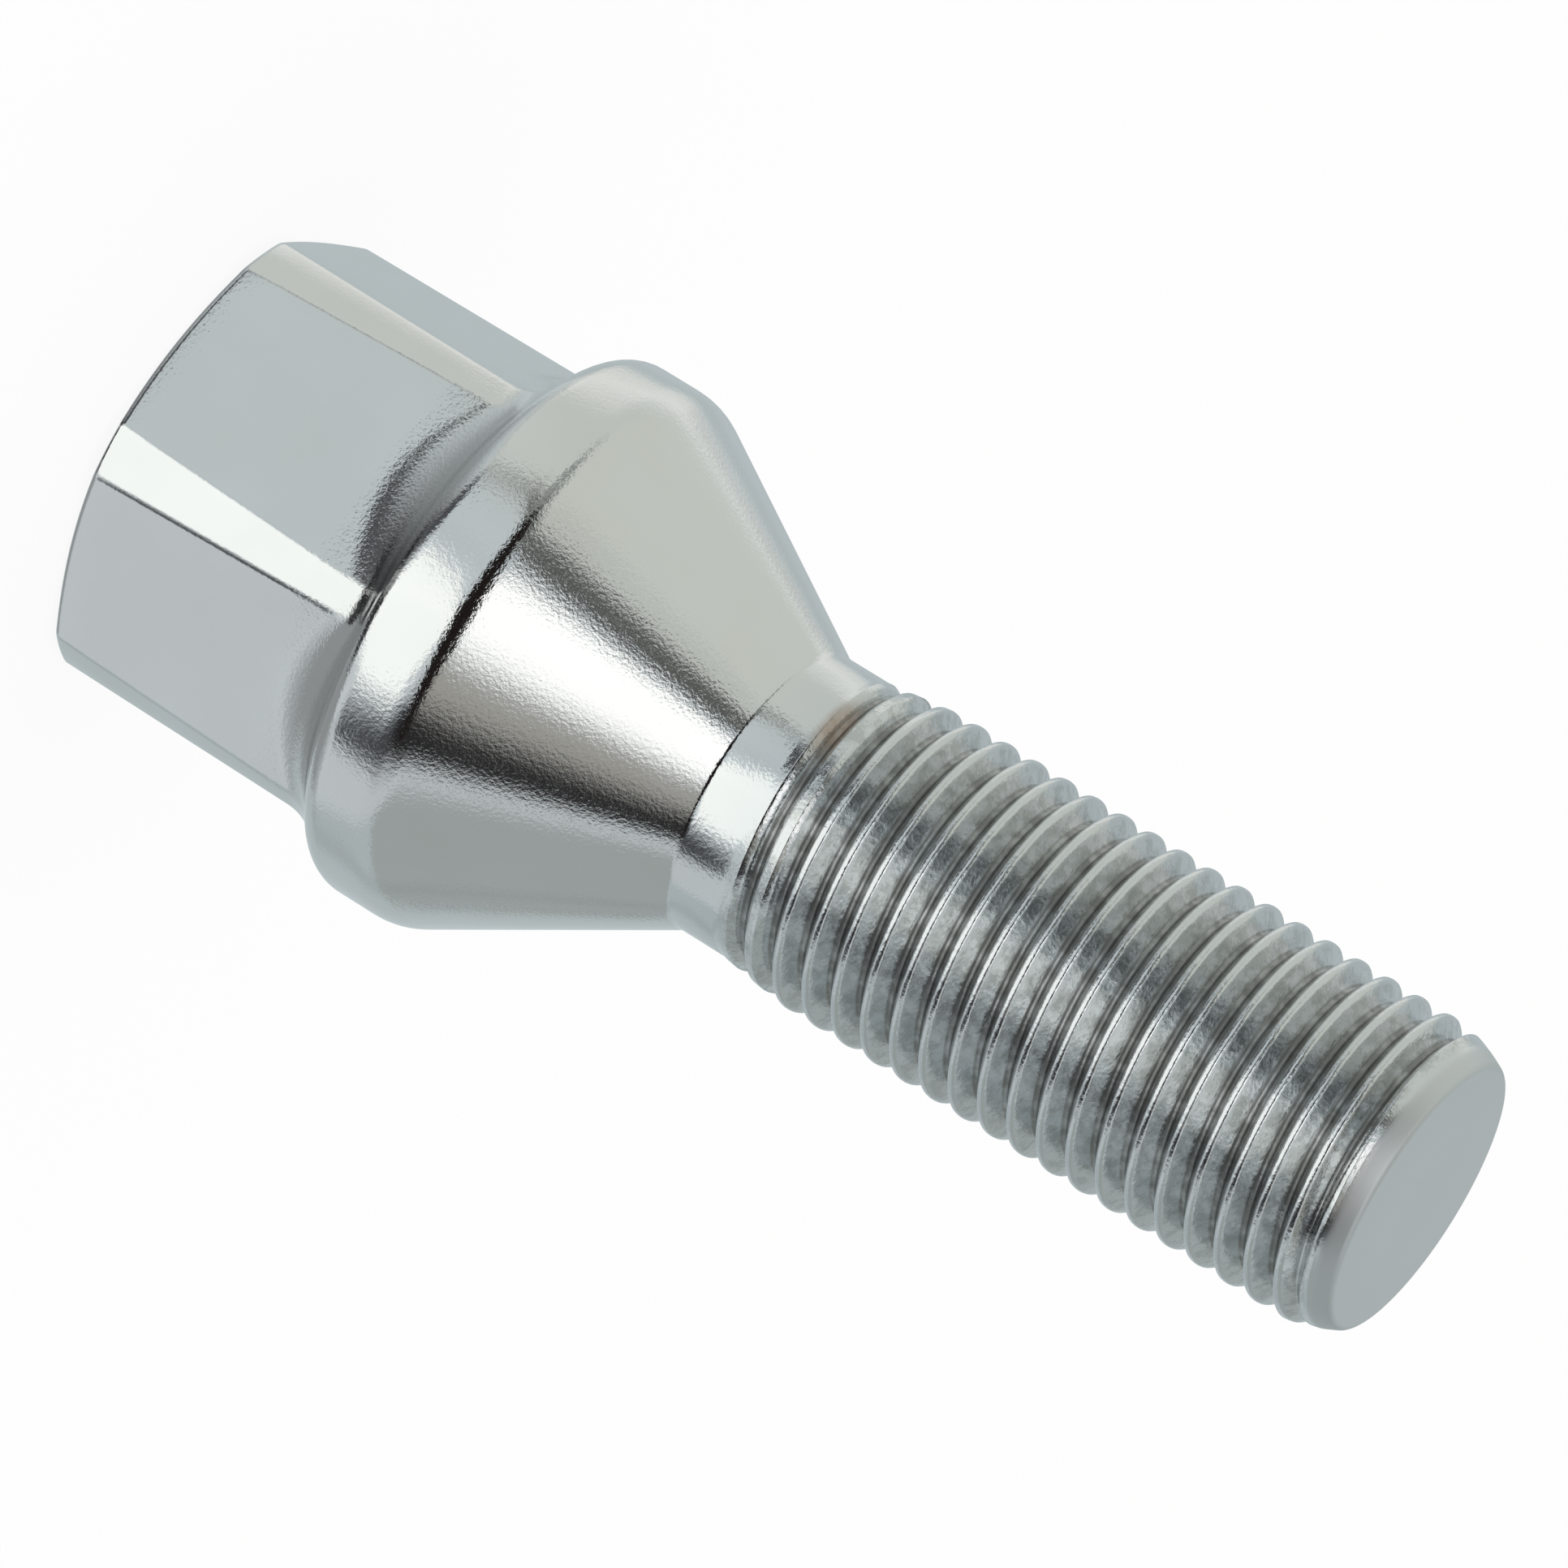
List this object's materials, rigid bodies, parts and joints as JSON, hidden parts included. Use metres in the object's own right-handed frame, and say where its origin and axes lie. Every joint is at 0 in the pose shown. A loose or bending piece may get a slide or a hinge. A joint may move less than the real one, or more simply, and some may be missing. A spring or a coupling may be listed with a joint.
{
  "type": "wheel bolt",
  "caption": "Plated steel wheel bolt with a hexagon head, a flared collar, a conical seat, a plain neck and a right-hand rolled thread with a chamfered tip.",
  "frame": {"origin": "centre of the flat end of the hexagon head, which the bolt stands on", "axes": "+Z along the bolt's axis from the head to the tip of the thread, +X through a corner of the hexagon"},
  "size_m": [0.0218, 0.0216, 0.0526],
  "materials": {
    "plated_steel": "bright plated"
  },
  "bodies": {
    "root": {"wheel_bolt": "plated_steel"}
  },
  "joints": []
}
